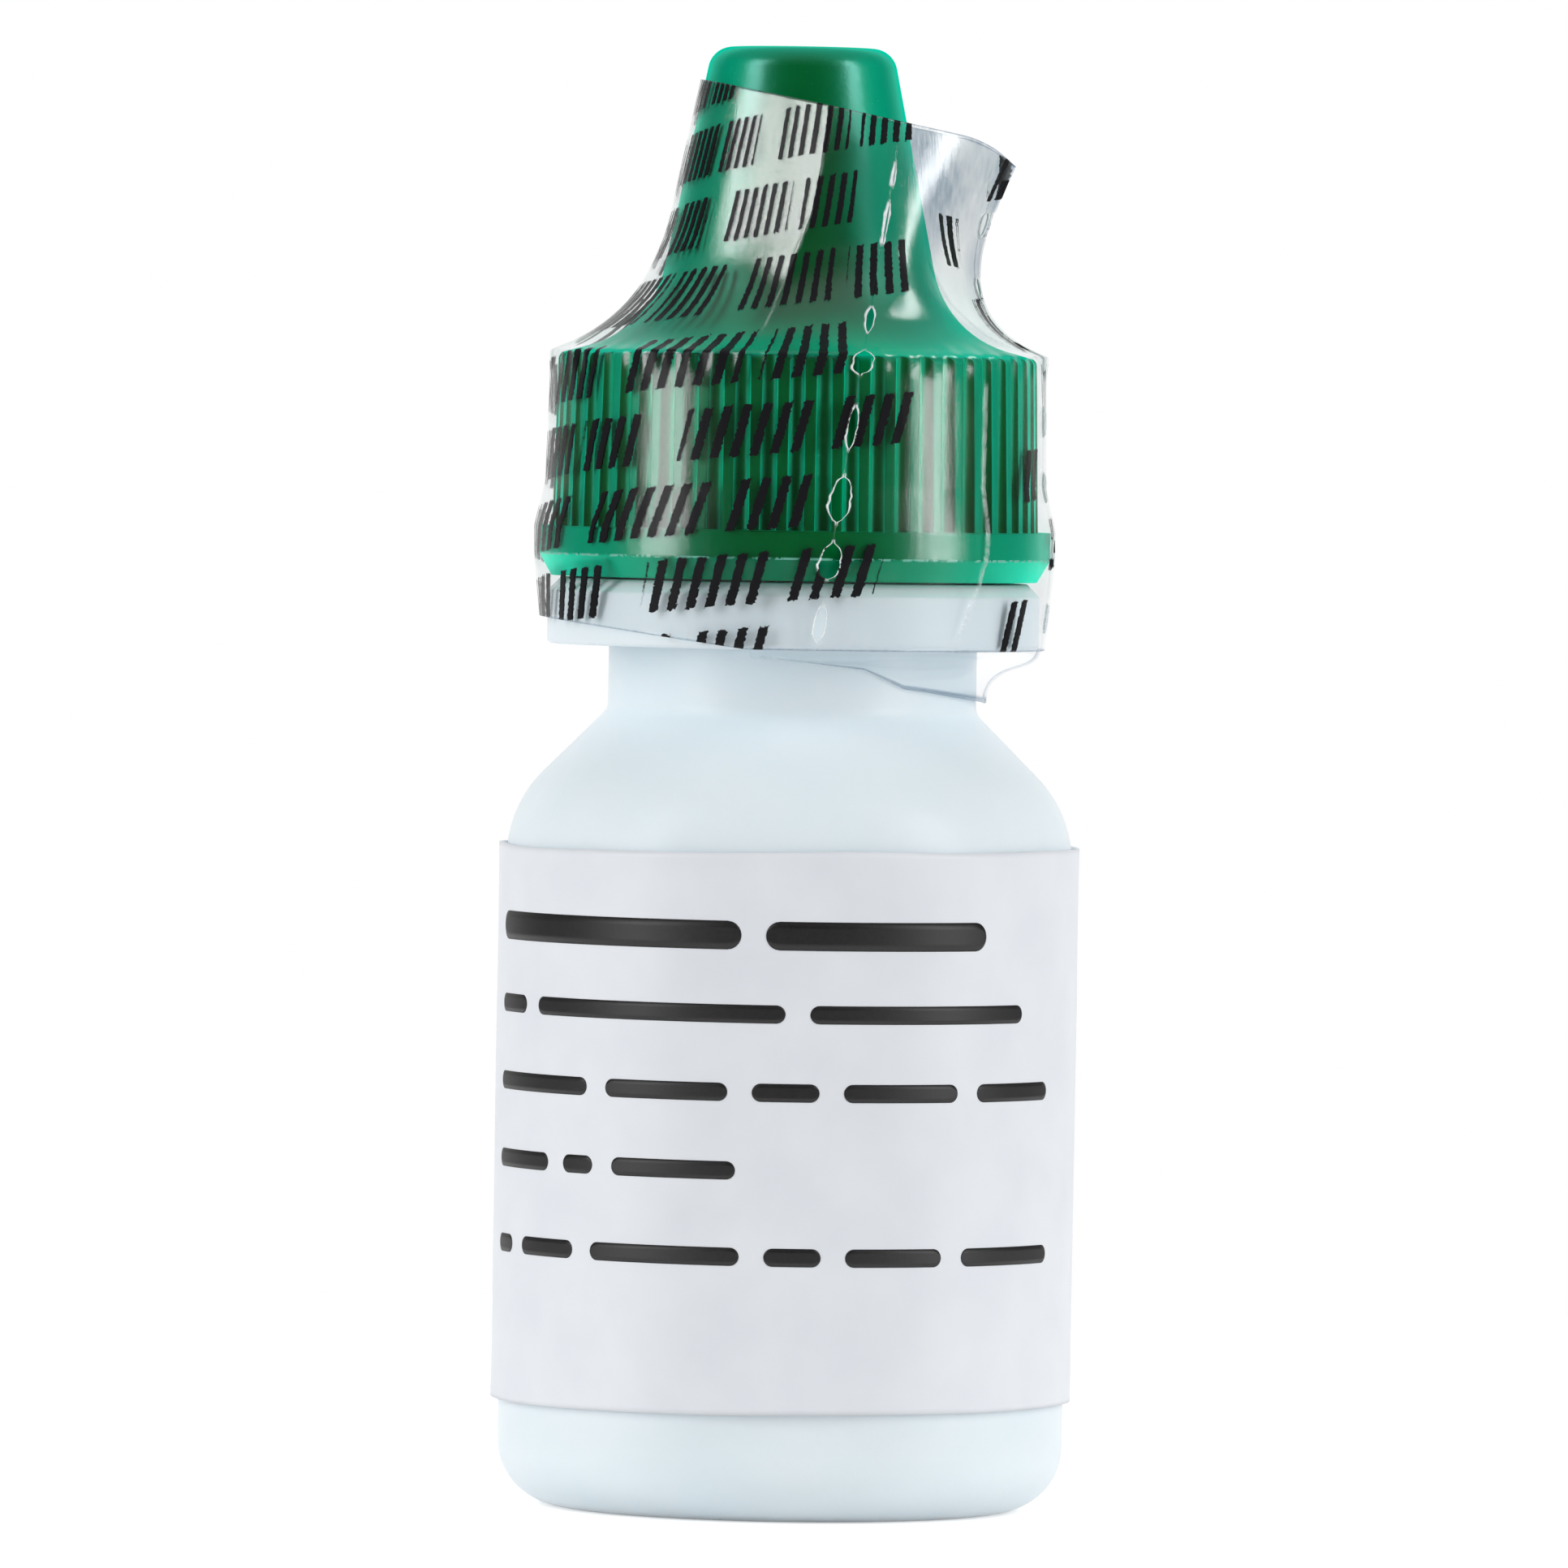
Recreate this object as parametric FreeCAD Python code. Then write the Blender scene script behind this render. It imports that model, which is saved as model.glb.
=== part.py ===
import FreeCAD, Part
import math
import os

# Eye drop bottle: squeeze bottle, dropper tip, screw cap, label and shrink seal film with a tear strip.
# Millimetres. It stands on z = 0 with the screw axis on +Z and the front of the label towards -Y.

# Bottle body
body_radius = 11.0
body_height = 27.15
body_wall = 0.9
base_round = 2.5
base_thickness = 1.0
base_dent_radius = 7.0
base_dent_depth = 0.6
inner_base_round = 1.6
shoulder_angle = 45.0
shoulder_round = 4.75

# Neck, collar and threaded finish
finish_radius = 6.55
finish_wall = 1.75
neck_step = 0.61
neck_wall = 0.95
neck_height = 2.5
neck_foot_round = 0.6
collar_overhang = 2.41
collar_height = 2.57
collar_chamfer = 0.5
collar_edge_round = 0.2
rim_round = 0.3
bore_length = 8.6

# Screw thread, right hand
thread_pitch = 2.117
thread_turns = 1.5
thread_depth = 0.75
thread_root_width = 1.1
thread_crest_width = 0.5
thread_clearance = 0.4
thread_lead = 1.2
thread_sink = 0.15

# Screw cap
cap_gap = 0.08
cap_wall = 1.6
bevel_height = 0.86
bevel_inset = 0.5
flange_height = 1.07
flange_step = 0.5
skirt_height = 6.7
skirt_draft = 0.15
skirt_edge_round = 0.3
cap_shoulder_slope = 15.5
cap_shoulder_wall = 0.75
tower_height = 12.0
tower_top_radius = 3.51
tower_half_angle = 11.4
tower_wall = 1.1
tower_top_round = 0.95
tower_foot_round = 4.0
tower_inner_round = 0.6
flute_count = 56
flute_radius = 0.33
pip_radius = 0.8
pip_length = 1.5

# Dropper tip
tip_clearance = 0.2
tip_flange_thickness = 1.2
tip_flange_step = 0.45
plug_length = 6.4
plug_wall = 1.15
plug_fit = 0.02
plug_lead_in = 0.5
nozzle_clearance = 1.5
nozzle_foot_round = 0.8
nozzle_tip_round = 0.5
nozzle_wall = 0.75
orifice_radius = 0.3
orifice_length = 1.2

# Label and contents
label_thickness = 0.3
label_bottom = 4.25
label_top_margin = 1.38
label_seam_gap = 0.25
label_seam_bearing = 140.0
fill_height = 15.6

# Seal film: it hugs the collar and the cap, and its top stands off on one side as a loose flap
film_thickness = 0.1
film_gap = 0.12
film_skirt_slack = 0.12
film_tent_height = 1.7
film_rim_rise = 0.12
film_sweep_slope = 22.0
film_sweep_round = 7.0
film_top_drop = 1.15
film_top_slope = 15.2
film_bottom_rise = 1.05
film_bottom_slope = 7.6
film_hem = 0.06
flap_root_rise = 1.35
flap_spread = 0.61
flap_bearing = 84.0

# Tear strip: between a leaning line near the front and a line near the right side
tear_line_offset = 0.85
tear_line_lean = 8.3
tear_far_bearing = 75.0
tear_slit = 0.12
perforation_radius = 0.28
perforation_pitch = 2.54
perforation_count = 7

# Resolution of the film's outline
film_outline_points = 40
film_arc_steps = 7

# Heights, from the base up
neck_radius = finish_radius + neck_step
collar_radius = neck_radius + collar_overhang
shoulder_rise = math.tan(math.radians(shoulder_angle))
neck_foot_z = body_height + (body_radius - neck_radius) * shoulder_rise
collar_bottom_z = neck_foot_z + neck_height
collar_top_z = collar_bottom_z + collar_height
cap_bottom_z = collar_top_z + cap_gap
flange_bottom_z = cap_bottom_z + bevel_height
flange_top_z = flange_bottom_z + flange_height
skirt_top_z = flange_top_z + skirt_height
cap_top_z = skirt_top_z + tower_height

# Radii of the cap, from the thread outwards
thread_crest_radius = finish_radius + thread_depth
cap_bore_radius = thread_crest_radius + thread_clearance
cap_thread_crest_radius = finish_radius + thread_clearance
skirt_radius = cap_bore_radius + cap_wall
flange_radius = skirt_radius + skirt_draft + flange_step
cap_shoulder_rise = math.tan(math.radians(cap_shoulder_slope))
tower_spread = math.tan(math.radians(tower_half_angle))
cap_ceiling_z = skirt_top_z - cap_shoulder_wall + cap_wall * cap_shoulder_rise
tower_ceiling_z = cap_top_z - tower_wall

# Rim of the finish and top of the nozzle, which the cap closes on
rim_z = cap_ceiling_z - tip_clearance - tip_flange_thickness
tip_flange_top_z = rim_z + tip_flange_thickness
nozzle_top_z = tower_ceiling_z - pip_length - tip_clearance
bore_radius = finish_radius - finish_wall


def tower_radius(z):
    """Outer radius of the cap's tower, on its straight taper."""
    return tower_top_radius + (cap_top_z - z) * tower_spread


def nozzle_radius(z):
    """Outer radius of the nozzle, which stands clear of the inside of the tower."""
    return tower_radius(z) - tower_wall - nozzle_clearance


def crossing(slope_r, slope_z, rise, spread, top_r, top_z):
    """Where a line falling outwards to (slope_r, slope_z) meets a taper that widens down from (top_r, top_z)."""
    r = (top_r + spread * (top_z - slope_z - rise * slope_r)) / (1 - spread * rise)
    return r, slope_z + rise * (slope_r - r)


def outline_point(r, z):
    return FreeCAD.Vector(r, 0, z)


def rounded_edges(corners, closed=True):
    """Edges through (r, z, round) corners, with a tangent arc in place of each corner that has a round."""
    count = len(corners)
    ways = []
    for i, (r, z, rounding) in enumerate(corners):
        here = outline_point(r, z)
        if not rounding:
            ways.append((here, None, here))
            continue
        back = outline_point(*corners[i - 1][:2]).sub(here).normalize()
        ahead = outline_point(*corners[(i + 1) % count][:2]).sub(here).normalize()
        half = back.getAngle(ahead) / 2
        inwards = (back + ahead).normalize()
        reach = rounding / math.tan(half)
        middle = here + inwards * (rounding / math.sin(half) - rounding)
        ways.append((here + back * reach, middle, here + ahead * reach))
    edges = []
    for i, (enter, middle, leave) in enumerate(ways):
        if middle:
            edges.append(Part.Arc(enter, middle, leave).toShape())
        if i + 1 < count or closed:
            follow = ways[(i + 1) % count][0]
            edges.append(Part.LineSegment(leave, follow).toShape())
    return edges


def revolved(corners):
    """Solid of revolution about the screw axis from a closed outline of corners."""
    face = Part.Face(Part.Wire(rounded_edges(corners)))
    return face.revolve(FreeCAD.Vector(0, 0, 0), FreeCAD.Vector(0, 0, 1), 360)


def bearing(degrees):
    """Horizontal direction, counted from the front (-Y) towards +X."""
    angle = math.radians(degrees)
    return FreeCAD.Vector(math.sin(angle), -math.cos(angle), 0)


def dome(radius, depth, base_z):
    """Shallow dome that rises by depth over a circle of the given radius."""
    sphere_radius = (radius ** 2 + depth ** 2) / (2 * depth)
    ball = Part.makeSphere(sphere_radius, FreeCAD.Vector(0, 0, base_z + depth - sphere_radius))
    return ball.common(Part.makeCylinder(radius, depth, FreeCAD.Vector(0, 0, base_z)))


def thread_ridge(root_radius, crest_radius, start_z):
    """Right-hand ridge of trapezoid section, wound from start_z and sunk a little into its wall."""
    outwards = 1 if crest_radius > root_radius else -1
    root = root_radius - outwards * thread_sink
    flank = (thread_root_width - thread_crest_width) / 2 / abs(crest_radius - root_radius)
    half_crest = thread_crest_width / 2
    half_root = thread_root_width / 2 + flank * thread_sink
    corners = [
        outline_point(root, -half_root),
        outline_point(crest_radius, -half_crest),
        outline_point(crest_radius, half_crest),
        outline_point(root, half_root),
    ]
    section = Part.makePolygon(corners + corners[:1])
    helix = Part.makeHelix(thread_pitch, thread_pitch * thread_turns, root_radius)
    ridge = Part.Wire(helix.Edges).makePipeShell([section], True, True)
    ridge.translate(FreeCAD.Vector(0, 0, start_z))
    return ridge


# Bottle
shoulder_offset = body_wall / math.cos(math.radians(shoulder_angle))
inner_radius = body_radius - body_wall
inner_neck_radius = neck_radius - neck_wall
neck_inner_foot_z = neck_foot_z + (neck_radius - inner_neck_radius) * shoulder_rise - shoulder_offset
inner_shoulder_z = neck_foot_z - (inner_radius - neck_radius) * shoulder_rise - shoulder_offset
bore_bottom_z = rim_z - bore_length
bore_flare = inner_neck_radius - bore_radius


def make_cavity():
    """The space inside the bottle, from its floor to the mouth."""
    space = revolved([
        (0, base_thickness, 0),
        (inner_radius, base_thickness, inner_base_round),
        (inner_radius, inner_shoulder_z, shoulder_round - body_wall),
        (inner_neck_radius, neck_inner_foot_z, 0),
        (inner_neck_radius, bore_bottom_z - bore_flare, 0),
        (bore_radius, bore_bottom_z, 0),
        (bore_radius, rim_z, 0),
        (0, rim_z, 0),
    ])
    return space.cut(dome(base_dent_radius, base_dent_depth, base_thickness))


def make_bottle(cavity):
    """Body, neck, collar and threaded finish as one hollow moulding."""
    outside = revolved([
        (0, 0, 0),
        (body_radius, 0, base_round),
        (body_radius, body_height, shoulder_round),
        (neck_radius, neck_foot_z, neck_foot_round),
        (neck_radius, collar_bottom_z, 0),
        (collar_radius, collar_bottom_z, collar_edge_round),
        (collar_radius, collar_top_z - collar_chamfer, 0),
        (collar_radius - collar_chamfer, collar_top_z, 0),
        (finish_radius, collar_top_z, 0),
        (finish_radius, rim_z, rim_round),
        (0, rim_z, 0),
    ])
    thread = thread_ridge(finish_radius, thread_crest_radius, collar_top_z + thread_lead)
    return outside.cut(dome(base_dent_radius, base_dent_depth, 0)).fuse(thread).cut(cavity)


def make_solution(cavity):
    """The drops, filling the bottle to their level."""
    level = Part.makeCylinder(body_radius, base_thickness + fill_height)
    return cavity.common(level)


def make_label():
    """Wrap-round label whose ends nearly meet behind."""
    label_height = body_height - label_top_margin - label_bottom
    foot = FreeCAD.Vector(0, 0, label_bottom)
    wrap = Part.makeCylinder(body_radius + label_thickness, label_height, foot)
    wrap = wrap.cut(Part.makeCylinder(body_radius, label_height, foot))
    seam = Part.makeBox(label_seam_gap, body_radius + label_thickness, label_height)
    seam.translate(FreeCAD.Vector(-label_seam_gap / 2, 0, label_bottom))
    seam.rotate(FreeCAD.Vector(0, 0, 0), FreeCAD.Vector(0, 0, 1), label_seam_bearing + 180)
    return wrap.cut(seam)


def make_dropper_tip():
    """Hollow plug in the neck, flange on the rim and tapered nozzle under the cap."""
    plug_radius = bore_radius - plug_fit
    plug_bottom_z = rim_z - plug_length
    flange_radius_on_rim = finish_radius - tip_flange_step
    throat_radius = nozzle_radius(tip_flange_top_z) - nozzle_wall
    orifice_foot_z = nozzle_top_z - orifice_length
    return revolved([
        (orifice_radius, nozzle_top_z, 0),
        (orifice_radius, orifice_foot_z, 0),
        (nozzle_radius(orifice_foot_z) - nozzle_wall, orifice_foot_z - orifice_length, 0),
        (throat_radius, tip_flange_top_z, 0),
        (plug_radius - plug_wall, rim_z, 0),
        (plug_radius - plug_wall, plug_bottom_z, 0),
        (plug_radius - plug_lead_in, plug_bottom_z, 0),
        (plug_radius, plug_bottom_z + plug_lead_in, 0),
        (plug_radius, rim_z, 0),
        (flange_radius_on_rim, rim_z, 0),
        (flange_radius_on_rim, tip_flange_top_z, 0),
        (nozzle_radius(tip_flange_top_z), tip_flange_top_z, nozzle_foot_round),
        (nozzle_radius(nozzle_top_z), nozzle_top_z, nozzle_tip_round),
    ])


def make_cap():
    """Tower, sloping shoulder, fluted skirt and bevelled flange, with the thread and the closing pip inside."""
    foot_r, foot_z = crossing(
        skirt_radius, skirt_top_z, cap_shoulder_rise, tower_spread, tower_top_radius, cap_top_z)
    outside = revolved([
        (0, cap_bottom_z, 0),
        (flange_radius - bevel_inset, cap_bottom_z, 0),
        (flange_radius, flange_bottom_z, 0),
        (flange_radius, flange_top_z, 0),
        (skirt_radius + skirt_draft, flange_top_z, 0),
        (skirt_radius, skirt_top_z, skirt_edge_round),
        (foot_r, foot_z, tower_foot_round),
        (tower_top_radius, cap_top_z, tower_top_round),
        (0, cap_top_z, 0),
    ])
    inside = revolved([
        (0, cap_bottom_z, 0),
        (cap_bore_radius, cap_bottom_z, 0),
        (cap_bore_radius, cap_ceiling_z, 0),
        (tower_radius(cap_ceiling_z) - tower_wall, cap_ceiling_z, 0),
        (tower_radius(tower_ceiling_z) - tower_wall, tower_ceiling_z, tower_inner_round),
        (0, tower_ceiling_z, 0),
    ])
    flutes = []
    for i in range(flute_count):
        place = bearing(360.0 * i / flute_count) * (skirt_radius + skirt_draft)
        place.z = flange_top_z
        flutes.append(Part.makeCylinder(flute_radius, tower_height, place))
    thread_start_z = collar_top_z + thread_lead + thread_pitch / 2
    thread = thread_ridge(cap_bore_radius, cap_thread_crest_radius, thread_start_z)
    pip = Part.makeCylinder(
        pip_radius, pip_length + tower_wall / 2, FreeCAD.Vector(0, 0, tower_ceiling_z - pip_length))
    return outside.cut(Part.makeCompound(flutes)).cut(inside).fuse([thread, pip])


# Seal film and tear strip
def film_profile():
    """Points (radius, height) up the inside of the film where it hugs the bottle and the cap."""
    rim_reach = skirt_radius + film_gap + film_skirt_slack
    tower_offset = film_gap / math.cos(math.radians(tower_half_angle))
    sweep_rise = math.tan(math.radians(film_sweep_slope))
    rim_top_z = skirt_top_z + film_rim_rise
    foot_r, foot_z = crossing(
        rim_reach, rim_top_z, sweep_rise, tower_spread, tower_top_radius + tower_offset, cap_top_z)
    waist = max(collar_radius, flange_radius - bevel_inset) + film_gap
    corners = [
        (collar_radius + film_gap, collar_bottom_z, 0),
        (collar_radius + film_gap, collar_top_z - collar_chamfer, 0),
        (waist, cap_bottom_z, 0),
        (flange_radius + film_gap, flange_bottom_z, 0),
        (flange_radius + film_gap, flange_top_z, 0),
        (rim_reach + skirt_draft, flange_top_z + film_tent_height, 0),
        (rim_reach, rim_top_z, 0),
        (foot_r, foot_z, film_sweep_round),
        (tower_top_radius + tower_offset, cap_top_z, 0),
    ]
    points = [outline_point(*corners[0][:2])]
    for edge in rounded_edges(corners, closed=False):
        steps = film_arc_steps if isinstance(edge.Curve, Part.Circle) else 1
        points += edge.discretize(Number=steps + 1)[1:]
    return points


def oval_radius(turn, hug, bulge):
    """Reach of an oval that hugs a circle behind and stands off it by `bulge` in front, at turn 0."""
    shift = max(bulge, 0) / 2
    long_half = hug + shift
    short_half = math.sqrt(long_half * hug)
    along = math.cos(turn) / long_half
    across = math.sin(turn) / short_half
    square = along ** 2 + across ** 2
    lead = along * shift / long_half
    return (lead + math.sqrt(lead ** 2 + square * (1 - (shift / long_half) ** 2))) / square


def film_ring(hug, z, offset):
    """Closed outline of the film at one height, offset outwards from its inside."""
    bulge = flap_spread * (z - skirt_top_z - flap_root_rise)
    points = []
    for i in range(film_outline_points):
        degrees = 360.0 * i / film_outline_points
        reach = oval_radius(math.radians(degrees - flap_bearing), hug, bulge) + offset
        points.append(bearing(degrees) * reach + FreeCAD.Vector(0, 0, z))
    curve = Part.BSplineCurve()
    curve.interpolate(Points=points, PeriodicFlag=True, Parameters=list(range(film_outline_points + 1)))
    return Part.Wire(curve.toShape())


def half_space(point, inwards):
    """A large block on the side of a plane that `inwards` points to."""
    size = 4 * (cap_top_z + body_radius)
    block = Part.makeBox(size, size, size, FreeCAD.Vector(-size / 2, -size / 2, 0))
    turn = FreeCAD.Rotation(FreeCAD.Vector(0, 0, 1), inwards)
    block.Placement = FreeCAD.Placement(point, turn)
    return block


def tear_line_x(z):
    """Where the leaning line of perforations lies across the front, at one height."""
    return tear_line_offset + (z - collar_bottom_z) * math.tan(math.radians(tear_line_lean))


def make_film():
    """The whole film as one thin tube, with its slanted ends and its two lines of perforations."""
    profile = film_profile()
    outer = Part.makeLoft([film_ring(p.x, p.z, film_thickness) for p in profile], True, True)
    inner = Part.makeLoft([film_ring(p.x, p.z, 0) for p in profile], True, True)
    film = outer.cut(inner)
    top_slope = math.radians(film_top_slope)
    top_point = FreeCAD.Vector(-tower_top_radius, 0, cap_top_z - film_top_drop)
    film = film.common(half_space(top_point, FreeCAD.Vector(-math.sin(top_slope), 0, -math.cos(top_slope))))
    low_slope = math.radians(film_bottom_slope)
    low_point = FreeCAD.Vector(-collar_radius, 0, collar_bottom_z + film_bottom_rise)
    film = film.common(half_space(low_point, FreeCAD.Vector(math.sin(low_slope), 0, math.cos(low_slope))))
    film = film.common(half_space(FreeCAD.Vector(0, 0, collar_bottom_z + film_hem), FreeCAD.Vector(0, 0, 1)))
    far = bearing(tear_far_bearing)
    holes = []
    for i in range(perforation_count):
        z = collar_bottom_z + perforation_pitch * (i + 0.5)
        near_line = FreeCAD.Vector(tear_line_x(z), 0, z)
        holes.append(Part.makeCylinder(perforation_radius, 2 * flange_radius, near_line, bearing(0)))
        far_line = FreeCAD.Vector(0, 0, z)
        holes.append(Part.makeCylinder(perforation_radius, 2 * flange_radius, far_line, far))
    return film.cut(Part.makeCompound(holes))


def strip_wedge(slack):
    """The space between the two tear lines, wider by slack on each side."""
    lean = math.radians(tear_line_lean)
    near = FreeCAD.Vector(math.cos(lean), 0, -math.sin(lean))
    near_point = FreeCAD.Vector(tear_line_offset, 0, collar_bottom_z) - near * slack
    beyond = bearing(tear_far_bearing + 90)
    return half_space(near_point, near).common(half_space(beyond * slack, beyond * -1))


def make_seal_sleeve(film):
    return film.cut(strip_wedge(tear_slit / 2))


def make_tear_strip(film):
    return film.common(strip_wedge(-tear_slit / 2))


def main():
    cavity = make_cavity()
    film = make_film()
    parts = {
        "bottle": make_bottle(cavity),
        "solution": make_solution(cavity),
        "label": make_label(),
        "dropper_tip": make_dropper_tip(),
        "cap": make_cap(),
        "seal_sleeve": make_seal_sleeve(film),
        "tear_strip": make_tear_strip(film),
    }
    os.makedirs("parts", exist_ok=True)
    for name, shape in parts.items():
        solids = shape.Solids
        box = shape.BoundBox
        print(f"{name}: {len(solids)} solid, volume {shape.Volume:.2f} mm3, valid {shape.isValid()}, "
              f"z {box.ZMin:.2f} to {box.ZMax:.2f}, x {box.XMin:.2f} to {box.XMax:.2f}")
        solid = solids[0] if len(solids) == 1 else shape
        solid.exportStep(f"parts/{name}.step")


main()
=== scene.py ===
"""Looks of an eye drop bottle: milky bottle, green fluted cap, wrap-round label and crooked clear film."""

import math

import bpy
import numpy as np
from mathutils import Matrix, Vector, noise


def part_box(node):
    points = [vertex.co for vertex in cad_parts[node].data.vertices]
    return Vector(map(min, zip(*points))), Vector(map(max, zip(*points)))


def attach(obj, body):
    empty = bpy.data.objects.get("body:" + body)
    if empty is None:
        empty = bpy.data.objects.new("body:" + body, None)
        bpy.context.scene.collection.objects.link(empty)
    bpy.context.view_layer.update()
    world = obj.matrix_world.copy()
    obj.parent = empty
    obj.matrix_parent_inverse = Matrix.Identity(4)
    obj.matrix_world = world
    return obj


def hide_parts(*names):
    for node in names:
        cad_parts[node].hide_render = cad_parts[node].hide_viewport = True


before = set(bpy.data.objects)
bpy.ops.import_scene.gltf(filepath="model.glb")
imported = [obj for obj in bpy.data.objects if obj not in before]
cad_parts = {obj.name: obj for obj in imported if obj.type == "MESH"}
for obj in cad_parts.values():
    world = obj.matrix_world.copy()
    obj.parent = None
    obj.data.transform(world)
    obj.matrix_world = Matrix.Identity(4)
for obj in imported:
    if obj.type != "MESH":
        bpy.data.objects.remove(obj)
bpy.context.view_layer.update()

# Sizes are in millimetres and angles in degrees; meshes are written in metres
MM = 0.001

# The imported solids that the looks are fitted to
cap_low, cap_high = (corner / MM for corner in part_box("cap"))
label_low, label_high = (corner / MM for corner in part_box("label"))

# The bottle and the cap under the film
body_radius = 11.0
neck_radius = 7.16
collar_radius = 9.57
collar_bottom = 33.49
bevel_height = 0.86
flange_height = 1.07
flange_radius = 9.95
skirt_height = 6.7
skirt_radius = 9.3
skirt_draft = 0.15
flute_count = 56
tower_top_radius = 3.51
tower_half_angle = 11.4
cap_bottom = cap_low.z
cap_top = cap_high.z
flange_bottom = cap_bottom + bevel_height
flange_top = flange_bottom + flange_height
skirt_top = flange_top + skirt_height

# The shrink film
film_thickness = 0.06
film_gap = 0.12
film_skirt_slack = 0.12
film_tent_height = 1.7
film_rim_rise = 0.12
film_sweep_slope = 22.0
film_sweep_round = 7.0
film_top_drop = 1.38
film_top_slope = 11.5
film_nose_start = 6.2
film_nose_length = 2.4
film_nose_drop = 0.95
film_bottom_rise = 1.05
film_bottom_slope = 7.6
film_lowest = 33.5
film_foot_height = -0.3
film_first_guess_height = 40.0
film_seam = 0.012
film_sweep_corner = 6
film_rounds = 12
edge_rounds = 24
flap_root_rise = 1.35
flap_root_round = 1.2
flap_spread = 0.61
flap_bearing = 84.0

# The loose film above the skirt: its flat facet, its ridge, and the walls that lead to the flap's fold
facet_bearing = -30.0
facet_heights = (43.5, 48.9)
wall_heights = (44.4, 50.2)
ridge_heights = (45.0, 47.0, 50.5, 54.0)
ridge_bearings = (-12.0, -7.0, 5.0, 11.0)
front_wall_turn = 6.0
end_wall_share = 0.55
wall_corner = 4.0
wall_rise = 1.5
wall_least_rise = 1e-6
wall_steepest_radians = 1.4

# The tear lines, the film's gloss and its printed strokes
tear_line_offset = 0.85
tear_line_lean = 8.3
tear_far_bearing = 80.0
film_gloss = 0.036
film_loose_gloss = 0.03
film_grazing_gloss = 0.3
hatch_row_pitch = 2.85
hatch_row_offset = 0.75
hatch_rows_per_turn = 2
hatch_strokes_per_turn = 77
hatch_lean_strokes = 2
hatch_stagger = -1.6
hatch_drift = 0.24
hatch_drift_height = 43.0
hatch_word_gap = (5.0, 2.4)
hatch_row_half = 0.34
hatch_stroke_half = 0.23
hatch_raggedness = 0.34

# The film's mesh, and the depths of its crepe, dents and lifted rims
film_rows = 230
sleeve_columns = 400
strip_columns = 220
edge_crowding = 0.8
crepe_depths = (0.006, 0.012)
tight_dent_depth = 0.02
loose_dent_depth = 0.13
loose_height = 3.0
scallop_depth = 0.04
deepest_dent = -0.03
crease_overrun = 0.1
crease_fade = 0.7
flap_cloud_reach = 60.0
flap_cloud_fade = 40.0
flap_cloud_level = 0.22
# Width and fade of the dark line of painted shade along the film's cut ends
edge_shade_width = 0.07
edge_shade_fade = 0.05
rim_width = 0.065
rim_wander = 0.03
rim_fade = 0.04
rim_lift = 0.05
rim_swell = 0.6
hole_wander = 0.14
torn_paces = (5.1, 11.7, 19.0)

# Printed blocks round the film: bearing of the middle, and half width
hatch_blocks = ((-73.0, 26.5), (-8.0, 26.5), (83.0, 6.0), (172.0, 26.0), (229.0, 25.0))

# Holes along the front tear line: height, half width, half height, and how pointed top and bottom are
front_holes = (
    (34.55, 0.19, 0.62, 0.5, 0.5),
    (36.95, 0.40, 0.68, 0.85, 0.42),
    (39.30, 0.38, 0.85, 0.65, 0.5),
    (42.05, 0.17, 0.78, 0.7, 0.7),
    (44.55, 0.40, 0.42, 0.42, 0.42),
    (46.20, 0.14, 0.45, 0.5, 0.5),
    (49.95, 0.03, 0.73, 0.5, 0.5),
    (51.85, 0.02, 0.40, 0.5, 0.5),
)
side_hole_pitch = 2.54
side_hole_count = 7
side_hole = (0.2, 0.5, 0.6, 0.6)

# Creases in the film: width, height, whiteness, and points by bearing and height
film_creases = (
    (0.06, 0.05, 0.30, ((48.5, 44.2), (48.0, 40.5), (47.0, 37.2), (45.0, 36.0), (39.5, 33.8))),
    (0.05, 0.02, 0.12, ((10.5, 53.7), (5.0, 50.5), (-7.0, 47.0), (-11.0, 45.4))),
    (0.10, 0.07, 0.20, ((47.0, 48.6), (52.0, 47.0), (60.0, 45.7), (70.0, 44.9))),
)

# The label and its generic print: height, bar thickness and bar lengths of each row
label_thickness = 0.16
label_glue = 0.1
label_lap = 24.0
label_lap_bearing = 200.0
label_lap_rise = (352.0, 362.0)
label_lap_gap = 0.03
label_inset = 0.02
label_ripples = (0.03, 0.02)
label_wave = 0.02
label_edge_wave = 0.03
label_crook = 0.45
label_bar_reach = 15.0
label_bar_gap = 0.95
label_bar_rows = (
    (22.6, 1.10, (13.2, 9.2)),
    (19.6, 0.70, (2.6, 11.4, 9.6)),
    (16.6, 0.70, (6.6, 5.2, 2.6, 4.8, 4.4)),
    (13.6, 0.70, (4.4, 1.6, 5.2)),
    (10.3, 0.70, (1.6, 3.4, 6.4, 2.2, 4.0, 5.2)),
)

# The cap's green
cap_dark = (0.0, 0.095, 0.012)
cap_light = (0.0, 0.120, 0.018)
cap_sheen_colour = (0.0, 1.0, 0.68, 1)
cap_sheen = 0.025
cap_grazing_sheen = 1.3
crown_polish_depth = 5.0
# Width of the pale line painted along the flange's lower edge, a painted highlight
edge_glint_width = 0.09

# The torn tail of the film under the collar: bearings and heights of its lower edge
tail_bearings = (-10.0, 6.0, 22.0, 36.0, 60.0, 85.0, 98.0)
tail_heights = (33.2, 33.0, 32.78, 32.05, 31.7, 31.45, 31.6)
tail_drape_bearings = (60.0, 88.0)
tail_end_bearings = (96.0, 97.0)

# The round white table under the bottle
floor_radius = 140.0

# The softboxes: bearing, width and power of each, and what they share
softbox_left = (-62.0, 180.0, 1.76)
softbox_right = (66.0, 150.0, 1.76)
softbox_height = 265.0
softbox_tall = 520.0
softbox_distance = 500.0

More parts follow.
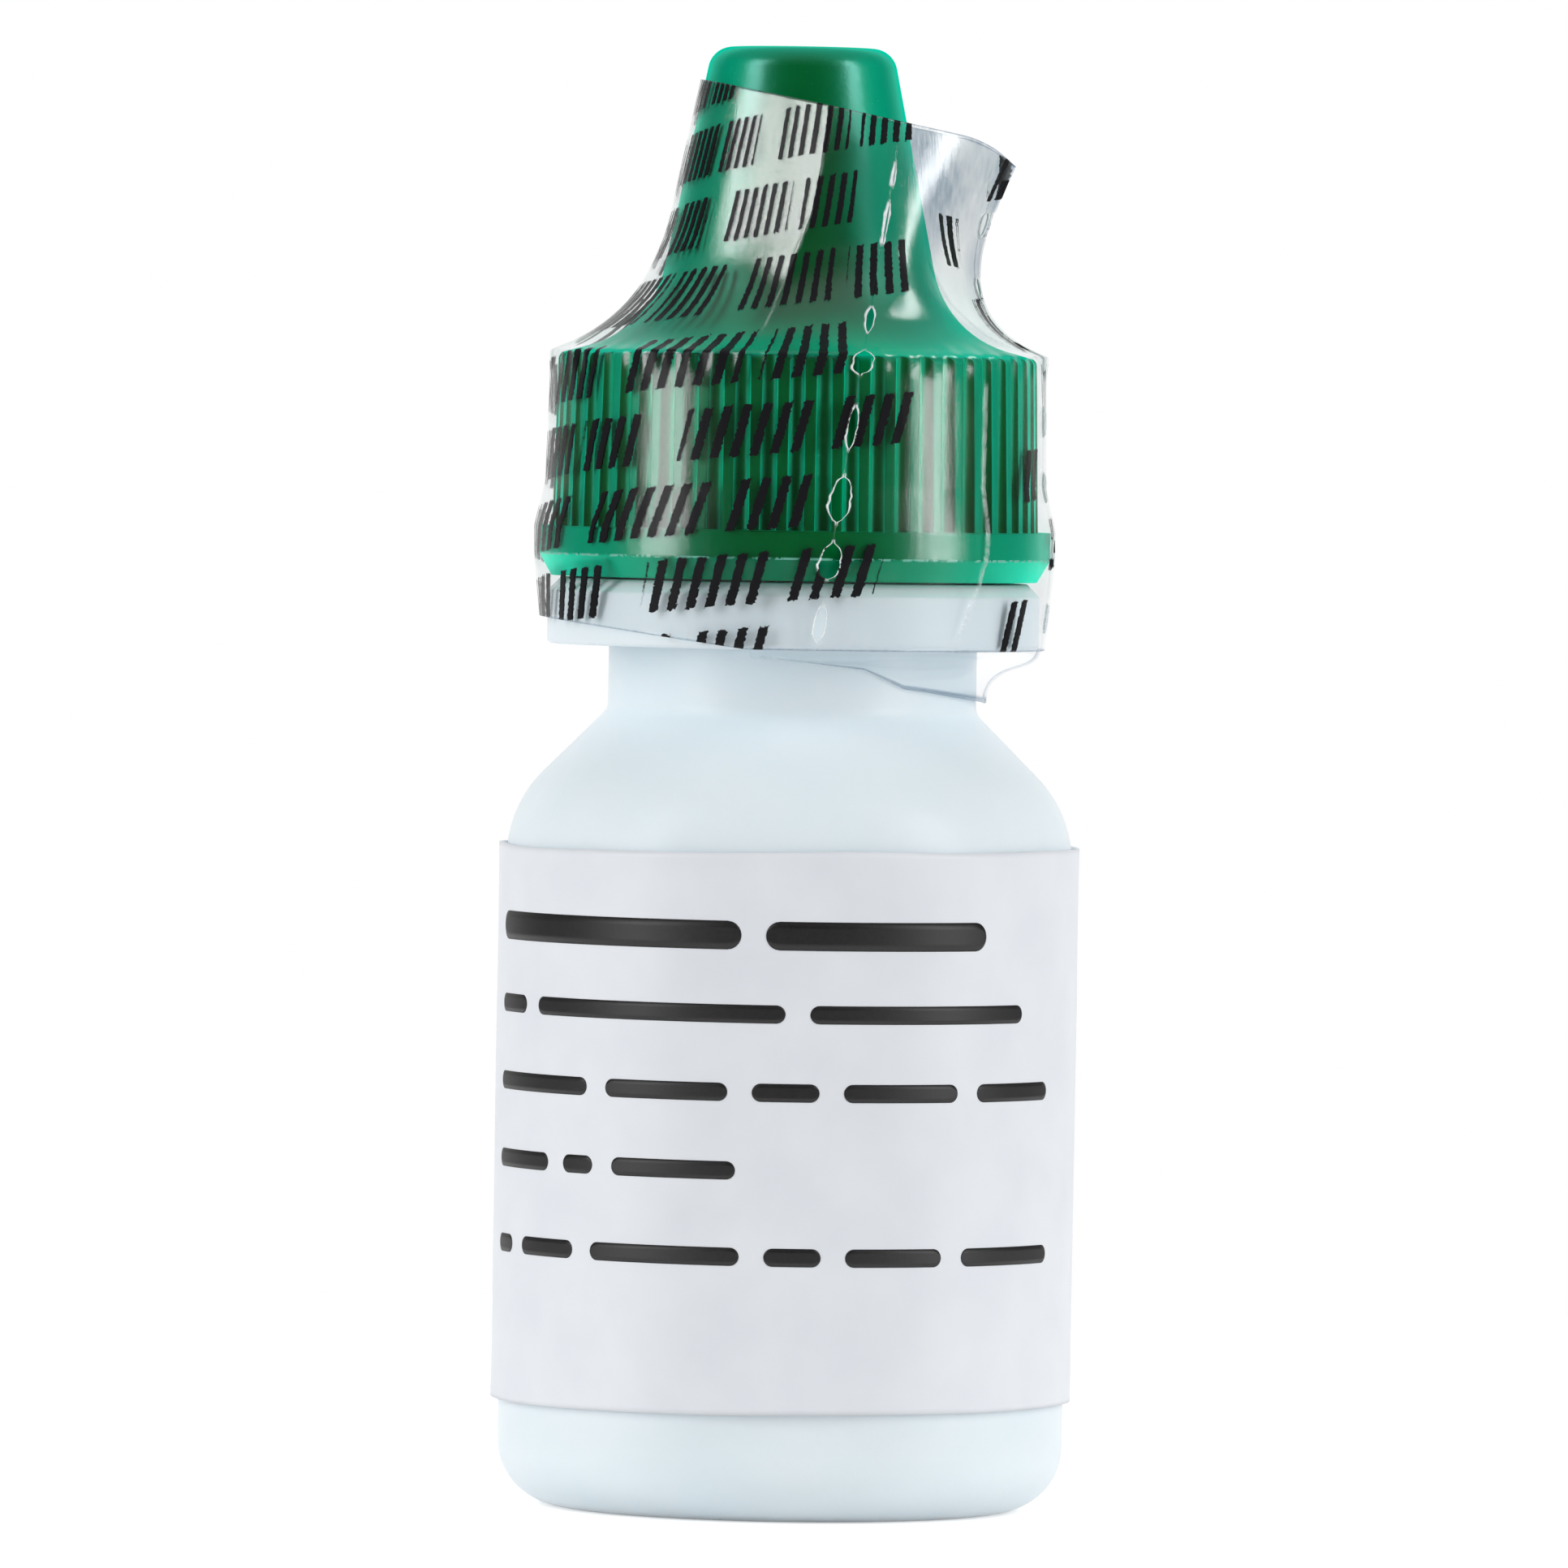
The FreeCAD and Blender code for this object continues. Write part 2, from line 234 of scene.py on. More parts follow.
# The camera, from the photograph's framing
camera_distance = 600.0
camera_height = 42.74
aim_height = 28.14
aim_side = -0.26
view_width = 61.0
camera_roll = 0.97
sensor_width = 36.0


def shader_nodes(name):
    """A new material, its node maker and its link maker."""
    material = bpy.data.materials.new(name)
    material.use_nodes = True
    tree = material.node_tree
    tree.nodes.clear()
    return material, tree.nodes.new, tree.links.new


def set_inputs(node, **values):
    """Sets sockets by name, with underscores for blanks."""
    for name, value in values.items():
        node.inputs[name.replace("_", " ")].default_value = value
    return node


def math_node(make, link, operation, first, second=None, third=None):
    """One Math node on numbers or sockets, and its output."""
    node = make("ShaderNodeMath")
    node.operation = operation
    for slot, value in enumerate((first, second, third)):
        if value is None:
            continue
        if isinstance(value, (int, float)):
            node.inputs[slot].default_value = value
        else:
            link(value, node.inputs[slot])
    return node.outputs[0]


def noise_node(make, link, coordinates, scale, detail=3.0, roughness=0.5):
    """A noise texture on the given coordinates, and its grey output."""
    node = make("ShaderNodeTexNoise")
    set_inputs(node, Scale=scale, Detail=detail, Roughness=roughness)
    link(coordinates, node.inputs["Vector"])
    return node.outputs["Fac"]


def ramp(make, link, value, low, high, low_colour, high_colour):
    """A colour that goes from low_colour to high_colour as value goes from low to high."""
    node = make("ShaderNodeValToRGB")
    node.color_ramp.elements[0].position = low
    node.color_ramp.elements[1].position = high
    node.color_ramp.elements[0].color = (*low_colour, 1)
    node.color_ramp.elements[1].color = (*high_colour, 1)
    link(value, node.inputs["Fac"])
    return node.outputs["Color"]


def spread(make, link, value, low, high):
    """A number from low to high as value goes from 0 to 1."""
    node = make("ShaderNodeMapRange")
    set_inputs(node, To_Min=low, To_Max=high)
    link(value, node.inputs["Value"])
    return node.outputs["Result"]


def bump(make, link, height, distance, strength=1.0, under=None):
    """A bump of the given depth in millimetres, over another bump if there is one."""
    node = make("ShaderNodeBump")
    set_inputs(node, Strength=strength, Distance=distance * MM)
    link(height, node.inputs["Height"])
    if under is not None:
        link(under, node.inputs["Normal"])
    return node.outputs["Normal"]


def mixed(make, link, share, first, second):
    """A shader that goes from first to second as share goes from 0 to 1."""
    node = make("ShaderNodeMixShader")
    link(share, node.inputs[0])
    link(first.outputs[0], node.inputs[1])
    link(second.outputs[0], node.inputs[2])
    return node


def surfaced(material, make, link, shader):
    """The material, with the shader on its surface."""
    output = make("ShaderNodeOutputMaterial")
    link(shader.outputs[0], output.inputs["Surface"])
    return material


def place(make, link, scale=(1, 1, 1)):
    """The object's own coordinates in millimetres, stretched by scale."""
    source = make("ShaderNodeTexCoord")
    node = make("ShaderNodeMapping")
    node.inputs["Scale"].default_value = [share / MM for share in scale]
    link(source.outputs["Object"], node.inputs["Vector"])
    return node.outputs["Vector"]


def moulded_shader(make, link, dark, light, roughness, grain, grain_depth, edge, settings):
    """Plastic with slow colour drift, a fine grain and softened edges; returns its shader and normal."""
    drift_scale = 0.22
    wave_share = 0.22
    wave_depth = grain_depth * 2.2
    roughness_drift = 0.06
    shader = make("ShaderNodeBsdfPrincipled")
    where = place(make, link)
    drift = noise_node(make, link, where, scale=drift_scale, detail=4.0)
    fine = noise_node(make, link, where, scale=grain, detail=3.0, roughness=0.6)
    waves = noise_node(make, link, where, scale=grain * wave_share, detail=2.0)
    link(ramp(make, link, drift, 0.3, 0.7, dark, light), shader.inputs["Base Color"])
    rough = spread(make, link, fine, roughness - roughness_drift, roughness + roughness_drift)
    link(rough, shader.inputs["Roughness"])
    edges = set_inputs(make("ShaderNodeBevel"), Radius=edge * MM)
    skin = bump(make, link, waves, wave_depth, under=edges.outputs["Normal"])
    skin = bump(make, link, fine, grain_depth, under=skin)
    link(skin, shader.inputs["Normal"])
    set_inputs(shader, **settings)
    return shader, skin


def moulded_plastic(name, dark, light, roughness, grain, grain_depth, edge, settings):
    """A material of plain moulded plastic; settings go on the shader's own sockets."""
    material, make, link = shader_nodes(name)
    shader, _ = moulded_shader(make, link, dark, light, roughness, grain, grain_depth, edge, settings)
    return surfaced(material, make, link, shader)


def cap_material():
    """Green polypropylene: clear gloss over a rough sheen, and a painted highlight line on the flange's
    lower edge.
    """
    material, make, link = shader_nodes("cap_polypropylene")
    settings = {"Specular_Tint": (0.45, 1, 0.98, 1)}
    shader, skin = moulded_shader(
        make, link, cap_dark, cap_light,
        roughness=0.25, grain=5.0, grain_depth=0.004, edge=0.13, settings=settings)
    sheen = set_inputs(make("ShaderNodeBsdfAnisotropic"), Color=cap_sheen_colour, Roughness=0.55)
    link(skin, sheen.inputs["Normal"])
    slant = set_inputs(make("ShaderNodeLayerWeight"), Blend=0.5)
    grazing = math_node(make, link, "POWER", slant.outputs["Facing"], 1.5)
    sheen_share = math_node(make, link, "MULTIPLY_ADD", grazing, cap_grazing_sheen, cap_sheen)
    glow = mixed(make, link, sheen_share, shader, sheen)

    where = place(make, link)
    height = make("ShaderNodeSeparateXYZ")
    link(where, height.inputs[0])
    polish = make("ShaderNodeMapRange")
    set_inputs(polish, From_Min=cap_top - crown_polish_depth, From_Max=cap_top, To_Min=0.12, To_Max=1.0)
    link(height.outputs["Z"], polish.inputs["Value"])
    link(polish.outputs["Result"], shader.inputs["Specular IOR Level"])
    # A pale teal line of painted highlight along the flange's lower edge, broken into patches
    line = math_node(make, link, "COMPARE", height.outputs["Z"], flange_bottom, edge_glint_width / 2)
    patches = noise_node(make, link, where, scale=3.2, detail=4.0, roughness=0.7)
    patches = math_node(make, link, "GREATER_THAN", patches, 0.5)
    edge_glint = set_inputs(make("ShaderNodeBsdfPrincipled"), Base_Color=(0.16, 0.55, 0.42, 1), Roughness=0.4)
    link(skin, edge_glint.inputs["Normal"])
    dressed = mixed(make, link, math_node(make, link, "MULTIPLY", line, patches), glow, edge_glint)
    return surfaced(material, make, link, dressed)


def liquid_material():
    """Clear drops with a very faint blue tint and a few slow streaks."""
    material, make, link = shader_nodes("eye_drops")
    shader = make("ShaderNodeBsdfPrincipled")
    where = place(make, link, (1, 1, 0.3))
    streaks = noise_node(make, link, where, scale=0.3, detail=2.0)
    tint = ramp(make, link, streaks, 0.3, 0.7, (0.86, 0.93, 0.96), (0.93, 0.97, 0.98))
    link(tint, shader.inputs["Base Color"])
    link(spread(make, link, streaks, 0.02, 0.06), shader.inputs["Roughness"])
    set_inputs(shader, Transmission_Weight=1.0, IOR=1.336)
    return surfaced(material, make, link, shader)


def paper_material():
    """Coated white label paper: fine fibres, faint calender waves and a soft gloss."""
    material, make, link = shader_nodes("label_paper")
    shader = make("ShaderNodeBsdfPrincipled")
    where = place(make, link)
    fibres = noise_node(make, link, place(make, link, (1, 1, 0.5)), scale=7.0, detail=5.0, roughness=0.65)
    waves = noise_node(make, link, where, scale=0.35, detail=2.0)
    tint = ramp(make, link, waves, 0.3, 0.7, (0.80, 0.83, 0.88), (0.84, 0.865, 0.905))
    link(tint, shader.inputs["Base Color"])
    link(spread(make, link, fibres, 0.34, 0.5), shader.inputs["Roughness"])
    soft = bump(make, link, waves, 0.03)
    link(bump(make, link, fibres, 0.004, under=soft), shader.inputs["Normal"])
    set_inputs(shader, Specular_IOR_Level=0.4)
    return surfaced(material, make, link, shader)


def ink_material():
    """Near-black printing ink that lets a little of the paper's fibre through."""
    material, make, link = shader_nodes("printing_ink")
    shader = make("ShaderNodeBsdfPrincipled")
    speckle = noise_node(make, link, place(make, link), scale=9.0, detail=4.0, roughness=0.7)
    link(ramp(make, link, speckle, 0.35, 0.75, (0.004, 0.004, 0.004), (0.012, 0.011, 0.012)),
         shader.inputs["Base Color"])
    link(spread(make, link, speckle, 0.35, 0.55), shader.inputs["Roughness"])
    link(bump(make, link, speckle, 0.003), shader.inputs["Normal"])
    return surfaced(material, make, link, shader)


def hatch_mask(make, link, across, up):
    """1 on the film's printed strokes: rows of blocks of slanted bars."""
    turn_length = 2 * math.pi * collar_radius
    stroke_pitch = turn_length / hatch_strokes_per_turn
    lean = hatch_lean_strokes * stroke_pitch / (hatch_rows_per_turn * hatch_row_pitch)
    climb = hatch_rows_per_turn * hatch_row_pitch / turn_length
    row = math_node(make, link, "SUBTRACT", up, hatch_row_offset)
    row = math_node(make, link, "DIVIDE", row, hatch_row_pitch)
    row_number = math_node(make, link, "FLOOR", row)
    tall = math_node(make, link, "COMPARE", math_node(make, link, "FRACT", row), 0.5, hatch_row_half)
    sway = math_node(make, link, "MULTIPLY", row_number, 2 * math.pi / hatch_rows_per_turn)
    sway = math_node(make, link, "COSINE", sway)
    height = math_node(make, link, "MULTIPLY_ADD", across, climb, up)
    drift = math_node(make, link, "SUBTRACT", height, hatch_drift_height)
    shifted = math_node(make, link, "MULTIPLY_ADD", drift, -hatch_drift, across)
    shifted = math_node(make, link, "MULTIPLY_ADD", sway, hatch_stagger, shifted)
    turns = math_node(make, link, "DIVIDE", shifted, turn_length)
    inside = None
    for middle, half in hatch_blocks:
        away = math_node(make, link, "FRACT", math_node(make, link, "SUBTRACT", turns, middle / 360 - 0.5))
        block = math_node(make, link, "COMPARE", away, 0.5, half / 360)
        gap_middle, gap_half = hatch_word_gap
        gap = math_node(make, link, "COMPARE", away, 0.5 + gap_middle / 360, gap_half / 360)
        block = math_node(make, link, "SUBTRACT", block, math_node(make, link, "MINIMUM", gap, block))
        inside = block if inside is None else math_node(make, link, "MAXIMUM", inside, block)
    leaning = math_node(make, link, "MULTIPLY_ADD", up, -lean, across)
    stroke = math_node(make, link, "FRACT", math_node(make, link, "DIVIDE", leaning, stroke_pitch))
    bar = math_node(make, link, "COMPARE", stroke, 0.5, hatch_stroke_half)
    return math_node(make, link, "MULTIPLY", math_node(make, link, "MULTIPLY", tall, inside), bar)


def film_material():
    """Clear shrink film: gloss by angle, fine upright crepe, whitened torn rims and printed hatching."""
    material, make, link = shader_nodes("seal_film")
    unrolled = make("ShaderNodeUVMap")
    unrolled.uv_map = "unrolled"
    parts = make("ShaderNodeSeparateXYZ")
    link(unrolled.outputs["UV"], parts.inputs[0])
    blots = noise_node(make, link, unrolled.outputs["UV"], scale=7.0, detail=3.0, roughness=0.6)
    offset = math_node(make, link, "MULTIPLY_ADD", blots, hatch_raggedness, -hatch_raggedness / 2)
    across = math_node(make, link, "ADD", parts.outputs[0], offset)
    up = math_node(make, link, "ADD", parts.outputs[1], offset)
    print_mask = hatch_mask(make, link, across, up)

    grain_place = make("ShaderNodeMapping")
    grain_place.inputs["Scale"].default_value = (7.5, 1.2, 1)
    link(unrolled.outputs["UV"], grain_place.inputs["Vector"])
    grain = noise_node(make, link, grain_place.outputs["Vector"], scale=1.0, detail=4.0, roughness=0.6)
    slow = noise_node(make, link, unrolled.outputs["UV"], scale=0.45, detail=2.0)
    crepe = bump(make, link, grain, 0.008, under=bump(make, link, slow, 0.05))

    # The attribute clouds the loose flap and paints a dark line of shade along the film's cut ends; both
    # tint the film grey-blue
    clouding_and_shade = make("ShaderNodeAttribute")
    clouding_and_shade.attribute_name = "haze_and_edge_shade"
    streaky = math_node(make, link, "MULTIPLY_ADD", grain, 2.6, -0.4)
    streaky_clouding_and_shade = math_node(make, link, "MULTIPLY", clouding_and_shade.outputs["Fac"], streaky)
    clear = make("ShaderNodeBsdfTransparent")
    tint = ramp(make, link, streaky_clouding_and_shade, 0.0, 1.0, (0.982, 0.987, 0.99), (0.62, 0.68, 0.74))
    link(tint, clear.inputs["Color"])
    gloss = set_inputs(make("ShaderNodeBsdfAnisotropic"), Color=(1, 1, 1, 1), Roughness=0.19)
    link(crepe, gloss.inputs["Normal"])
    slant = set_inputs(make("ShaderNodeLayerWeight"), Blend=0.5)
    link(crepe, slant.inputs["Normal"])
    grazing = math_node(make, link, "POWER", slant.outputs["Facing"], 5.0)
    slack = make("ShaderNodeAttribute")
    slack.attribute_name = "loose"
    shine = math_node(make, link, "MULTIPLY_ADD", slack.outputs["Fac"], film_loose_gloss, film_gloss)
    gloss_share = math_node(make, link, "MULTIPLY_ADD", grazing, film_grazing_gloss, shine)
    window = mixed(make, link, gloss_share, clear, gloss)

    rim = make("ShaderNodeAttribute")
    rim.attribute_name = "rim"
    milk = math_node(make, link, "MULTIPLY_ADD", streaky_clouding_and_shade, 0.04, rim.outputs["Fac"])
    white = set_inputs(make("ShaderNodeBsdfPrincipled"), Base_Color=(0.86, 0.9, 0.92, 1), Roughness=0.3)
    link(crepe, white.inputs["Normal"])
    hazy = mixed(make, link, milk, window, white)

    ink = set_inputs(make("ShaderNodeBsdfPrincipled"), Base_Color=(0.012, 0.012, 0.014, 1), Roughness=0.28)
    set_inputs(ink, Specular_IOR_Level=0.12)
    link(crepe, ink.inputs["Normal"])
    printed = mixed(make, link, print_mask, hazy, ink)
    return surfaced(material, make, link, printed)


def smooth_step(value, low, high):
    """Rises smoothly from 0 to 1 as value goes from low to high."""
    share = np.clip((value - low) / (high - low), 0, 1)
    return share * share * (3 - 2 * share)


def waves_at(points, scale, seed):
    """Smooth noise from -1 to 1 at each row of points, given in millimetres."""
    shift = Vector((seed * 17.3, seed * 5.1, seed * 9.7))
    flat = points.reshape(-1, 3) * scale
    values = [noise.noise(Vector(point) + shift) for point in flat]
    return np.array(values).reshape(points.shape[:-1])


def hug_corners():
    """Radius and height of the film's inside where it is drawn tight, from the collar upwards."""
    foot = collar_radius + film_gap
    rim = skirt_radius + film_gap + film_skirt_slack
    tower_foot = tower_top_radius + film_gap
    slope = math.tan(math.radians(tower_half_angle))
    sweep = math.tan(math.radians(film_sweep_slope))
    rim_height = skirt_top + film_rim_rise
    # Where the straight sweep from the rim would meet the tower's side
    meet = (rim - tower_foot - slope * (cap_top - rim_height)) / (1 / sweep - slope)
    meet_radius = rim - meet / sweep
    return [
        (foot, film_lowest - 1),
        (foot, collar_bottom + film_foot_height),
        (flange_radius + film_gap, flange_bottom),
        (flange_radius + film_gap, flange_top),
        (rim + skirt_draft, flange_top + film_tent_height),
        (rim, rim_height),
        (meet_radius, rim_height + meet),
        (tower_foot, cap_top),
    ]


def rounded_line(corners, index, radius, steps=24):
    """The corners with the one at index replaced by points on an arc."""
    before, corner, after = (np.array(corners[i]) for i in (index - 1, index, index + 1))
    inward = (before - corner) / np.linalg.norm(before - corner)
    onward = (after - corner) / np.linalg.norm(after - corner)
    half = math.acos(np.clip(inward @ onward, -1, 1)) / 2
    middle = (inward + onward) / np.linalg.norm(inward + onward)
    centre = corner + middle * radius / math.sin(half)
    start = corner + inward * radius / math.tan(half) - centre
    end = corner + onward * radius / math.tan(half) - centre
    sweep = math.pi - 2 * half
    arc = []
    for step in range(steps + 1):
        share = step / steps
        mix = start * math.sin((1 - share) * sweep) + end * math.sin(share * sweep)
        arc.append(tuple(centre + mix / math.sin(sweep)))
    return [*corners[:index], *arc, *corners[index + 1:]]


hug_line = np.array(rounded_line(hug_corners(), film_sweep_corner, film_sweep_round))


def film_radius(bearing, height):
    """Radius of the film's inside at a bearing counted from the front towards +X.

    Round a part that it hugs it is a circle. Above the skirt it comes loose: a flat facet runs to a
    slanting ridge, from there a front wall and an end wall lead to the flap's fold, and a flat wall
    behind the fold leads back to the circle."""
    hug = np.interp(height, hug_line[:, 1], hug_line[:, 0])
    above_root = height - skirt_top - flap_root_rise
    reach = flap_spread * (above_root + np.sqrt(above_root ** 2 + flap_root_round ** 2)) / 2
    tip = hug + reach
    slack = smooth_step(height, *wall_heights)
    ridge = np.radians(np.interp(height, ridge_heights, ridge_bearings))
    facet = ridge + smooth_step(height, *facet_heights) * (math.radians(facet_bearing) - ridge)
    front = ridge + slack * math.radians(front_wall_turn)
    flank = np.arccos(hug / tip)
    fold = math.radians(flap_bearing)
    end = fold - end_wall_share * flank
    past_fold = np.remainder(bearing - fold, 2 * math.pi)
    bearing = past_fold + fold - 2 * math.pi

    on_facet = hug / np.cos(np.clip(bearing - facet, 0, ridge - facet))
    from_front = np.clip(bearing - front, -wall_steepest_radians, wall_steepest_radians)
    from_end = np.clip(bearing - end, -wall_steepest_radians, wall_steepest_radians)
    front_wall = hug / np.cos(ridge - facet) * np.cos(ridge - front) / np.cos(from_front)
    end_wall = tip * np.cos(fold - end) / np.cos(from_end)
    rises = (front_wall - hug, end_wall - hug, reach + slack * wall_rise)
    lowest = sum(np.maximum(rise, wall_least_rise) ** -wall_corner for rise in rises)
    on_walls = hug + lowest ** (-1 / wall_corner)
    behind = hug / np.cos(np.maximum(flank - past_fold, 0))
    return np.where(bearing > ridge, on_walls, np.maximum(on_facet, behind))


def film_top(bearing):
    """Height of the film's slanting upper edge."""
    height = np.full_like(bearing, cap_top - film_top_drop)
    for _ in range(edge_rounds):
        side = film_radius(bearing, height) * np.sin(bearing)
        slant = (side + tower_top_radius) * math.tan(math.radians(film_top_slope))
        nose = film_nose_drop * np.maximum((side - film_nose_start) / film_nose_length, 0) ** 2
        height = cap_top - film_top_drop - slant - nose
    return height


def film_bottom(bearing):
    """Height of the film's slanting lower edge, which stops just under the collar."""
    side = (collar_radius + film_gap) * np.sin(bearing)
    drop = (side + collar_radius) * math.tan(math.radians(film_bottom_slope))
    return np.maximum(collar_bottom + film_bottom_rise - drop, film_lowest)


def front_tear(height):
    """Bearing of the front tear line at a height."""
    target = tear_line_offset + (height - collar_bottom) * math.tan(math.radians(tear_line_lean))
    low = np.zeros_like(height)
    high = np.full_like(height, math.radians(flap_bearing))
    for _ in range(edge_rounds):
        middle = (low + high) / 2
        short = film_radius(middle, height) * np.sin(middle) < target
        low = np.where(short, middle, low)
        high = np.where(short, high, middle)
    return middle


def ragged(height, seed):
    """A torn edge's wander, from about -1 to 1, at each height."""
    return sum(np.sin(height * pace + seed * pace) / (1 + i) for i, pace in enumerate(torn_paces)) / 1.5


def hole_opening(height, holes, seed):
    """Half width of the tear holes at a height, and how near the height is to a hole."""
    opening = np.zeros_like(height)
    nearness = np.zeros_like(height)
    for centre, half_width, half_height, top_point, bottom_point in holes:
        part = (height - centre) / half_height
        point = np.where(part > 0, top_point, bottom_point)
        rounding = np.maximum(1 - part ** 2, 0) ** point
        width = half_width * rounding * (1 + hole_wander * ragged(height, seed))
        opening = np.maximum(opening, width)
        nearness = np.maximum(nearness, smooth_step(1.2 - np.abs(part), 0, 0.2))
    return opening, nearness


def side_holes():
    """The even row of holes along the far tear line."""
    first = collar_bottom + side_hole_pitch / 2
    return [(first + side_hole_pitch * i, *side_hole) for i in range(side_hole_count)]


def crease_lines(bearing, height, radius):
    """Lift in millimetres and whiteness of the film's creases at each point of a grid."""
    lift = np.zeros_like(height)
    whiteness = np.zeros_like(height)
    for width, rise, white, points in film_creases:
        line = np.array(points)[::-1] if points[0][1] > points[-1][1] else np.array(points)
        middle = np.interp(height, line[:, 1], np.radians(line[:, 0]))
        away = np.remainder(bearing - middle + math.pi, 2 * math.pi) - math.pi
        inside = smooth_step(height - line[0, 1] + crease_overrun, 0, crease_fade)
        inside = inside * smooth_step(line[-1, 1] + crease_overrun - height, 0, crease_fade)
        near = inside * np.exp(-(away * radius / width) ** 2)
        lift = np.maximum(lift, rise * near)
        whiteness = np.maximum(whiteness, white * smooth_step(near, 0.35, 0.9))
    return lift, whiteness


def closed_sheet(name, inner, outer, attributes, unrolled):
    """A thin closed sheet between two grids of points in millimetres, with point values and a flat map."""
    columns, rows = inner.shape[:2]
    count = columns * rows
    number = np.arange(count).reshape(columns, rows)
    corners = (number[:-1, :-1], number[1:, :-1], number[1:, 1:], number[:-1, 1:])
    front = np.stack([c + count for c in corners], axis=-1).reshape(-1, 4)
    back = np.stack(corners[::-1], axis=-1).reshape(-1, 4)
    rim = np.concatenate([number[:, 0], number[-1, 1:], number[-2::-1, -1], number[0, -2:0:-1]])
    after = np.roll(rim, -1)
    edge = np.stack([rim, after, after + count, rim + count], axis=-1)
    faces = np.concatenate([front, back, edge])
    points = np.concatenate([inner.reshape(-1, 3), outer.reshape(-1, 3)]) * MM
    mesh = bpy.data.meshes.new(name)
    mesh.from_pydata(points.tolist(), [], faces.tolist())
    for key, values in attributes.items():
        layer = mesh.attributes.new(key, "FLOAT", "POINT")
        layer.data.foreach_set("value", np.tile(values.reshape(-1), 2).astype(np.float32))
    if unrolled is not None:
        layer = mesh.uv_layers.new(name="unrolled")
        flat = np.tile(unrolled.reshape(-1, 2), (2, 1))
        loops = np.zeros(len(mesh.loops), int)
        mesh.loops.foreach_get("vertex_index", loops)
        layer.data.foreach_set("uv", flat[loops].astype(np.float32).ravel())
    mesh.polygons.foreach_set("use_smooth", [True] * len(mesh.polygons))
    mesh.update()
    made = bpy.data.objects.new(name, mesh)
    bpy.context.scene.collection.objects.link(made)
    return made


def film_piece(name, columns, left_edge, right_edge, left_holes, right_holes):
    """A stretch of the film between two tear lines, with half of each hole along its edges."""
    even = np.linspace(0, 1, columns + 1)[:, None]
    share = even - edge_crowding * np.sin(2 * math.pi * even) / (2 * math.pi)
    climb = np.linspace(0, 1, film_rows + 1)[None, :]
    guess = np.array([film_first_guess_height])
    bearing = left_edge(guess) * (1 - share) + right_edge(guess) * share
    bearing = np.broadcast_to(bearing, (columns + 1, film_rows + 1))
    for _ in range(film_rounds):
        low, high = film_bottom(bearing), film_top(bearing)
        height = low + climb * (high - low)
        left = left_edge(height)
        right = right_edge(height)
        left_gap, left_near = hole_opening(height, left_holes, 1.0)
        right_gap, right_near = hole_opening(height, right_holes, 2.0)
        left = left + (left_gap + film_seam) / film_radius(left, height)
        right = right - (right_gap + film_seam) / film_radius(right, height)
        bearing = left + share * (right - left)
    radius = film_radius(bearing, height)
    from_left = (bearing - left) * radius
    from_right = (right - bearing) * radius
    wide = rim_width + rim_wander * ragged(height, 3.0)
    rim = np.maximum(left_near * smooth_step(wide - from_left, 0, rim_fade),
                     right_near * smooth_step(wide - from_right, 0, rim_fade))
    crease, crease_white = crease_lines(bearing, height, radius)
    plain = round_points(bearing, radius, height)
    outward = round_points(bearing, 1.0, 0.0)

    # Upright crepe, slow dents, the flute tops pressing through at the rim, and the holes' lifted rims
    upright = plain * np.array([1, 1, 0.16])
    fine_depth, coarse_depth = crepe_depths
    crepe = fine_depth * waves_at(upright, 2.6, 1) + coarse_depth * waves_at(upright, 0.9, 2)
    loose = smooth_step(height, skirt_top, skirt_top + loose_height)
    dents = tight_dent_depth * waves_at(plain, 0.45, 3)
    dents = dents + loose * loose_dent_depth * waves_at(plain * np.array([1, 1, 0.5]), 0.35, 4)
    at_rim = smooth_step(height, skirt_top - 1.0, skirt_top - 0.1)
    at_rim = at_rim * smooth_step(skirt_top + 0.7 - height, 0, 0.6)
    scallop = at_rim * scallop_depth * np.cos(flute_count * bearing)
    lift = np.maximum(crepe + dents + scallop, deepest_dent) + rim_lift * rim + crease
    inner = plain + outward * lift[..., None]
    outer = inner + outward * (film_thickness * (1 + rim_swell * rim))[..., None]

    # Clouding of the loose flap, and a dark line of painted shade along the cut ends
    flap = np.abs(np.remainder(bearing - math.radians(flap_bearing) + math.pi, 2 * math.pi) - math.pi)
    flap = smooth_step(math.radians(flap_cloud_reach) - flap, 0, math.radians(flap_cloud_fade))
    patches = np.clip(flap_cloud_level + waves_at(plain * np.array([1, 1, 0.6]), 0.42, 5), 0, 1)
    haze_and_edge_shade = flap * loose * patches
    cut = np.minimum(height - low, high - height)
    haze_and_edge_shade = np.maximum(haze_and_edge_shade, smooth_step(edge_shade_width - cut, 0, edge_shade_fade))
    row_climb = hatch_rows_per_turn * hatch_row_pitch * bearing / (2 * math.pi)
    unrolled = np.stack([bearing * collar_radius, height - row_climb], axis=-1)
    values = {"rim": np.maximum(rim, crease_white), "haze_and_edge_shade": haze_and_edge_shade, "loose": loose}
    return closed_sheet(name, inner, outer, values, unrolled)


def side_tear(height):
    """Bearing of the far tear line, the same at every height."""
    return np.full_like(height, math.radians(tear_far_bearing))


def front_tear_again(height):
    """Bearing of the front tear line after one turn round the film."""
    return front_tear(height) + 2 * math.pi


